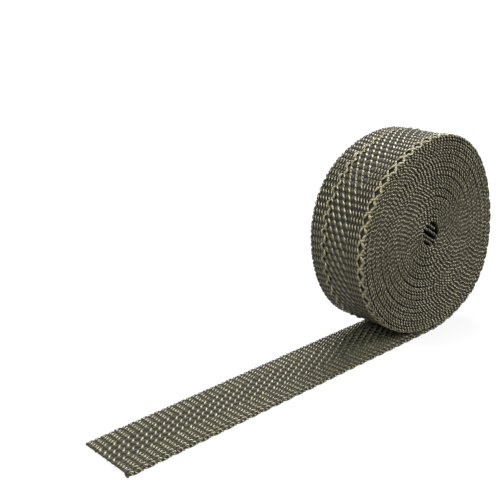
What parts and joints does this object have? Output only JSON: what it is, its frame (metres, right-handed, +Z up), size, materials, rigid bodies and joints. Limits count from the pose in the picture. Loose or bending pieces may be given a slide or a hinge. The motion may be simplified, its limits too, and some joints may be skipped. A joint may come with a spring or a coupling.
{
  "type": "exhaust heat wrap",
  "caption": "Roll of narrow woven heat-resistant tape for wrapping exhaust pipes, wound on itself round a small bore, with its outer end unrolled flat.",
  "frame": {"origin": "on the floor, under the middle of the whole length and the middle of the tape's width", "axes": "+X along the tape from its flat cut end to the roll, Y along the roll's axis, +Z up from the floor that the flat end lies on"},
  "size_m": [0.176, 0.0254, 0.076],
  "materials": {
    "woven_tape": "woven mineral-fibre yarn, khaki, with a silky gloss along the floats and dark gaps between them"
  },
  "bodies": {
    "root": {"heat_wrap_roll": "woven_tape"}
  },
  "joints": []
}
